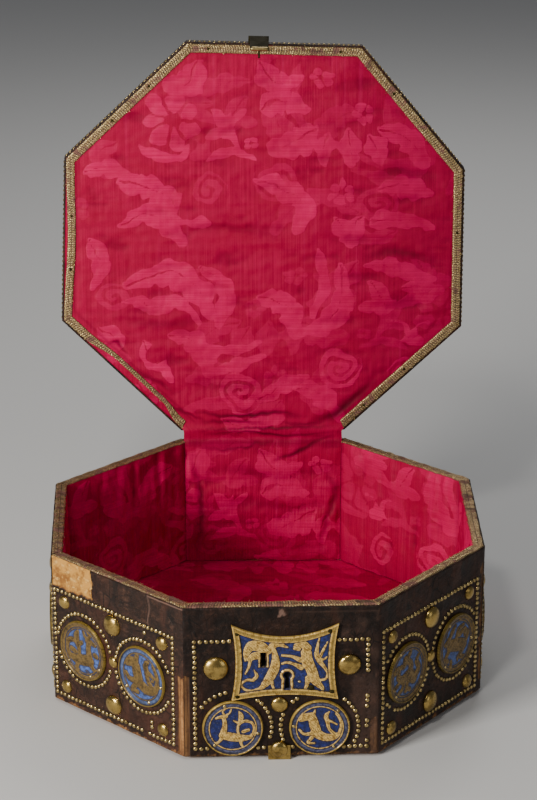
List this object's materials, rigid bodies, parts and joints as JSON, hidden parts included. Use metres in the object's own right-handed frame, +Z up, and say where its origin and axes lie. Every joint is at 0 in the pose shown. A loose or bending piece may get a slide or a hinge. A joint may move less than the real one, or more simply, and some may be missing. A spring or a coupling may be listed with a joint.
{
  "type": "reliquary casket",
  "caption": "Octagonal leather-covered wooden casket lined with silk, hinged lid standing open, brass nails, enamel discs, lock plate and hasp.",
  "frame": {"origin": "middle of the underside, on the bottom board's lower face", "axes": "+Z up, -Y towards the side with the lock, +Y towards the hinges, +X to the right seen from the front"},
  "size_m": [0.3738, 0.3989, 0.5123],
  "materials": {
    "wood": "bare, dry, orange-tan",
    "leather": "old dark brown, scuffed and cracked, with brass tacks",
    "silk": "crimson damask, satin sheen",
    "gold_braid": "woven metal thread, worn",
    "enamel": "blue enamel in gilt copper, worn",
    "brass": "aged brass, polished on the high places"
  },
  "bodies": {
    "case": {"board_front": "wood", "board_front_right": "wood", "board_right": "wood", "board_back_right": "wood", "board_back": "wood", "board_back_left": "wood", "board_left": "wood", "board_front_left": "wood", "bottom_board": "wood", "leather_front": "leather", "leather_front_right": "leather", "leather_right": "leather", "leather_back_right": "leather", "leather_back": "leather", "leather_back_left": "leather", "leather_left": "leather", "leather_front_left": "leather", "lining_floor": "silk", "lining_back_wall": "silk", "lining_side_walls": "silk", "braid_rim": "gold_braid", "medallion_front_1": "enamel", "medallion_front_2": "enamel", "medallion_front_right_1": "enamel", "medallion_front_right_2": "enamel", "medallion_right_1": "enamel", "medallion_right_2": "enamel", "medallion_back_right_1": "enamel", "medallion_back_right_2": "enamel", "medallion_back_1": "enamel", "medallion_back_2": "enamel", "medallion_back_left_1": "enamel", "medallion_back_left_2": "enamel", "medallion_left_1": "enamel", "medallion_left_2": "enamel", "medallion_front_left_1": "enamel", "medallion_front_left_2": "enamel", "lock_plate": "enamel", "foot_clip": "brass", "hinge_left_case_leaf": "brass", "hinge_right_case_leaf": "brass"},
    "lid": {"lid_board": "wood", "lid_leather": "leather", "lid_lining": "silk", "lid_braid": "gold_braid", "lid_medallion_centre": "enamel", "lid_medallion_front_left": "enamel", "lid_medallion_front_right": "enamel", "lid_medallion_back_left": "enamel", "lid_medallion_back_right": "enamel", "hinge_left_lid_strap": "brass", "hinge_right_lid_strap": "brass", "hasp_leaf": "brass"},
    "hasp": {"hasp": "brass"}
  },
  "joints": [
    {"name": "lid_hinge", "type": "hinge", "parent": "case", "child": "lid", "pos_m": [0, 0.18427, 0.1372], "axis": [1, 0, 0], "range_deg": [0, 92]},
    {"name": "hasp_hinge", "type": "hinge", "parent": "lid", "child": "hasp", "pos_m": [-0.00627, 0.20291, 0.50639], "axis": [-0.9996, 0.0009, 0.0268], "range_deg": [0, 170]}
  ]
}
